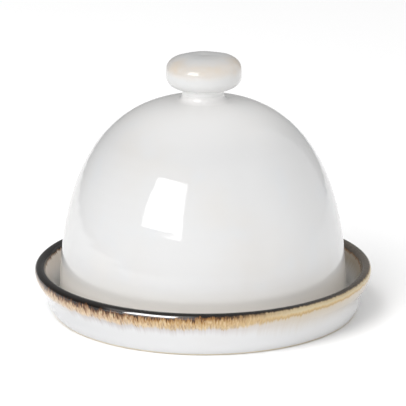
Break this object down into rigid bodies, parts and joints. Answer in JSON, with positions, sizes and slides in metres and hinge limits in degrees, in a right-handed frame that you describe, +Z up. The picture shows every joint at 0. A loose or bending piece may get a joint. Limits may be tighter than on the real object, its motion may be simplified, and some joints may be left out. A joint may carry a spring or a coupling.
{
  "type": "butter dish",
  "caption": "Round glazed stoneware butter dish: a low dish with a flared, rolled rim and a tall domed lid with a round knob, which lifts straight off.",
  "frame": {"origin": "centre of the dish's foot ring, on the surface the dish stands on", "axes": "+Z up along the axis of the dish, dome and knob; every piece is a body of revolution about it, so X and Y are free"},
  "size_m": [0.16, 0.16, 0.1239],
  "materials": {
    "dish_glaze": "glossy white glaze with a dark, running rim",
    "dome_glaze": "glossy white glaze",
    "knob_glaze": "glossy white glaze"
  },
  "bodies": {
    "dish": {"dish": "dish_glaze"},
    "lid": {"lid_dome": "dome_glaze", "lid_knob": "knob_glaze"}
  },
  "joints": [
    {"name": "lid_lift", "type": "slide", "parent": "dish", "child": "lid", "axis": [0, 0, 1], "range_m": [0, 0.12]}
  ]
}
